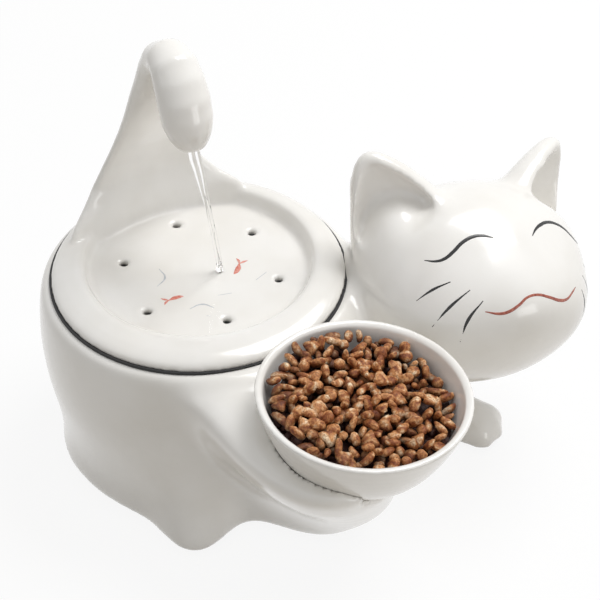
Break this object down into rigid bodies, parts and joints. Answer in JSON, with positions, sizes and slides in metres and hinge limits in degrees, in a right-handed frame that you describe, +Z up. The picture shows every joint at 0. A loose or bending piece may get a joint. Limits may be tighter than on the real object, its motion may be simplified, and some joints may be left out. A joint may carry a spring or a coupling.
{
  "type": "pet water fountain",
  "caption": "Cat-shaped ceramic pet water fountain: round basin with lift-off drinking tray whose tail pours water, submersible pump below, and a food bowl seated on the haunch.",
  "frame": {"origin": "on the floor under the centre of the round basin, in the middle of the centre pad's underside", "axes": "+X from the basin to the cat's chest and head (the long way), +Y away from the food bowl towards the back, +Z up"},
  "size_m": [0.3289, 0.2736, 0.2729],
  "materials": {
    "porcelain": "gloss",
    "silicone": "satin",
    "pump_plastic": "satin",
    "core_steel": "satin",
    "bobbin_plastic": "matte",
    "copper": "satin",
    "shaft_ceramic": "gloss",
    "rubber_black": "matte",
    "ferrite": "matte",
    "impeller_plastic": "satin",
    "slide_plastic": "satin",
    "foam": "matte"
  },
  "bodies": {
    "basin_body": {"basin": "porcelain", "head": "porcelain", "front_paws": "porcelain", "base_pads": "silicone", "pump_housing": "pump_plastic", "pump_back_plate": "pump_plastic", "stator_core": "core_steel", "coil_bobbin": "bobbin_plastic", "stator_coil": "copper", "rotor_shaft": "shaft_ceramic", "shaft_bushes": "rubber_black", "volute_cover": "pump_plastic", "intake_cover": "pump_plastic", "suction_cups": "silicone", "outlet_tube": "silicone", "intake_sponge": "foam", "cord_gland": "rubber_black"},
    "tray_body": {"tray": "porcelain", "tray_seal": "rubber_black"},
    "bowl_body": {"food_bowl": "porcelain"},
    "rotor_body": {"rotor_magnet": "ferrite", "impeller": "impeller_plastic"},
    "regulator_body": {"flow_regulator": "slide_plastic"}
  },
  "joints": [
    {"name": "tray_lift", "type": "slide", "parent": "basin_body", "child": "tray_body", "axis": [0, 0, 1], "range_m": [0, 0.16]},
    {"name": "bowl_lift", "type": "slide", "parent": "basin_body", "child": "bowl_body", "axis": [0, 0, 1], "range_m": [0, 0.09]},
    {"name": "impeller_spin", "type": "hinge", "parent": "basin_body", "child": "rotor_body", "pos_m": [-0.0105, 0.01933, 0.0265], "axis": [-0.4772, 0.8788, 0], "continuous": true},
    {"name": "regulator_slide", "type": "slide", "parent": "basin_body", "child": "regulator_body", "axis": [-0.8788, -0.4772, 0], "range_m": [0, 0.006]}
  ]
}
